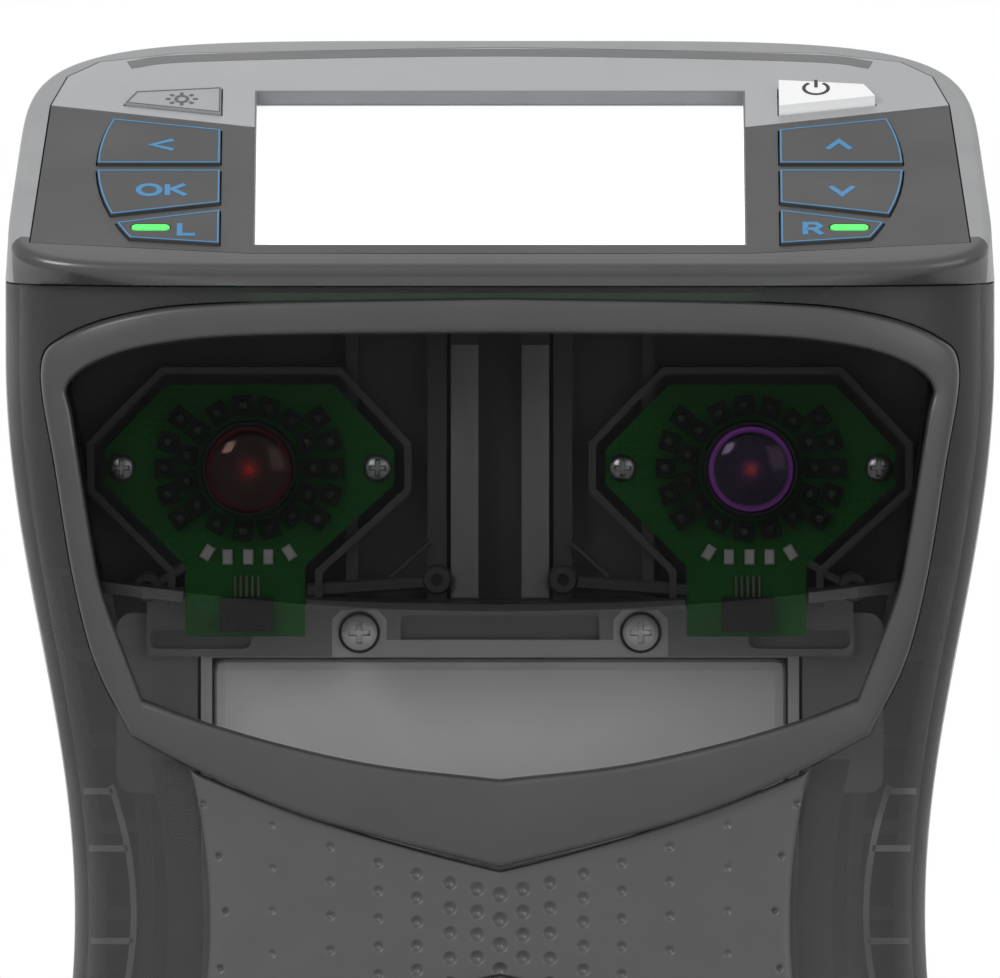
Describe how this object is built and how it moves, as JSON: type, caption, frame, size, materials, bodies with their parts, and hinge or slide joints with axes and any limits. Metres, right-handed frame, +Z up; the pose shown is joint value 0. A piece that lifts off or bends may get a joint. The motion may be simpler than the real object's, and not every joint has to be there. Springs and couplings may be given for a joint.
{
  "type": "golf launch monitor",
  "caption": "Upright hourglass launch monitor with a sloping key and display panel, camera bays behind smoked visors, a dimpled waist and a flat base on rubber feet.",
  "frame": {"origin": "on the floor under the middle of the casing", "axes": "+Z up, the cameras and the display face -Y, +X to the right of someone facing the cameras"},
  "size_m": [0.178, 0.1024, 0.3174],
  "materials": {
    "light_shell": "light grey moulded ABS",
    "dark_shell": "dark grey smoked polycarbonate",
    "silver_band": "silver paint",
    "key_fascia": "dark grey satin plastic",
    "dark_key": "dark grey key caps with blue outlines",
    "power_key": "white gloss plastic",
    "key_light": "green light pipe",
    "display_glass": "clear cover glass",
    "screen": "lit white screen",
    "circuit_board": "green solder mask",
    "visor": "dark grey satin plastic",
    "window": "smoked window",
    "chassis": "black moulded plastic",
    "lens_barrel": "black anodised",
    "lens_glass": "coated glass",
    "dimpled_cover": "dark grey dimpled plastic",
    "inner_frame": "grey moulded plastic",
    "battery": "grey pack",
    "screw": "steel",
    "foot": "black rubber"
  },
  "bodies": {
    "casing": {"top_housing": "light_shell", "front_shell": "dark_shell", "rear_shell": "dark_shell", "battery_door": "dark_shell", "port_panel": "dark_shell", "base_housing": "dark_shell", "battery_bracket": "dark_shell", "silver_band": "silver_band", "key_fascia": "key_fascia", "display_frame": "key_fascia", "display_glass": "display_glass", "display_module": "screen", "keypad_board": "circuit_board", "main_board": "circuit_board", "upper_left_camera_board": "circuit_board", "upper_right_camera_board": "circuit_board", "lower_left_camera_board": "circuit_board", "lower_right_camera_board": "circuit_board", "upper_visor_ring": "visor", "lower_visor_ring": "visor", "upper_window": "window", "lower_window": "window", "upper_camera_chassis": "chassis", "lower_camera_chassis": "chassis", "upper_left_lens_barrel": "lens_barrel", "upper_right_lens_barrel": "lens_barrel", "lower_left_lens_barrel": "lens_barrel", "lower_right_lens_barrel": "lens_barrel", "upper_left_lens_glass": "lens_glass", "upper_right_lens_glass": "lens_glass", "lower_left_lens_glass": "lens_glass", "lower_right_lens_glass": "lens_glass", "dimpled_cover": "dimpled_cover", "left_side_frame": "inner_frame", "right_side_frame": "inner_frame", "battery_tray": "inner_frame", "battery_pack": "battery", "left_bracket_screw": "screw", "right_bracket_screw": "screw", "front_left_foot": "foot", "front_right_foot": "foot", "rear_left_foot": "foot", "rear_right_foot": "foot"},
    "left_hand_key": {"left_hand_key": "dark_key", "left_key_light": "key_light"},
    "ok_key": {"ok_key": "dark_key"},
    "back_key": {"back_key": "dark_key"},
    "backlight_key": {"backlight_key": "dark_key"},
    "right_hand_key": {"right_hand_key": "dark_key", "right_key_light": "key_light"},
    "down_key": {"down_key": "dark_key"},
    "up_key": {"up_key": "dark_key"},
    "power_key": {"power_key": "power_key"}
  },
  "joints": [
    {"name": "left_hand_key_press", "type": "slide", "parent": "casing", "child": "left_hand_key", "axis": [0, 0.4695, -0.8829], "range_m": [0, 0.0007], "stiffness_N_per_m": 600},
    {"name": "ok_key_press", "type": "slide", "parent": "casing", "child": "ok_key", "axis": [0, 0.4695, -0.8829], "range_m": [0, 0.0007], "stiffness_N_per_m": 600},
    {"name": "back_key_press", "type": "slide", "parent": "casing", "child": "back_key", "axis": [0, 0.4695, -0.8829], "range_m": [0, 0.0007], "stiffness_N_per_m": 600},
    {"name": "backlight_key_press", "type": "slide", "parent": "casing", "child": "backlight_key", "axis": [0, 0.4695, -0.8829], "range_m": [0, 0.0007], "stiffness_N_per_m": 600},
    {"name": "right_hand_key_press", "type": "slide", "parent": "casing", "child": "right_hand_key", "axis": [0, 0.4695, -0.8829], "range_m": [0, 0.0007], "stiffness_N_per_m": 600},
    {"name": "down_key_press", "type": "slide", "parent": "casing", "child": "down_key", "axis": [0, 0.4695, -0.8829], "range_m": [0, 0.0007], "stiffness_N_per_m": 600},
    {"name": "up_key_press", "type": "slide", "parent": "casing", "child": "up_key", "axis": [0, 0.4695, -0.8829], "range_m": [0, 0.0007], "stiffness_N_per_m": 600},
    {"name": "power_key_press", "type": "slide", "parent": "casing", "child": "power_key", "axis": [0, 0.4695, -0.8829], "range_m": [0, 0.0007], "stiffness_N_per_m": 600}
  ]
}
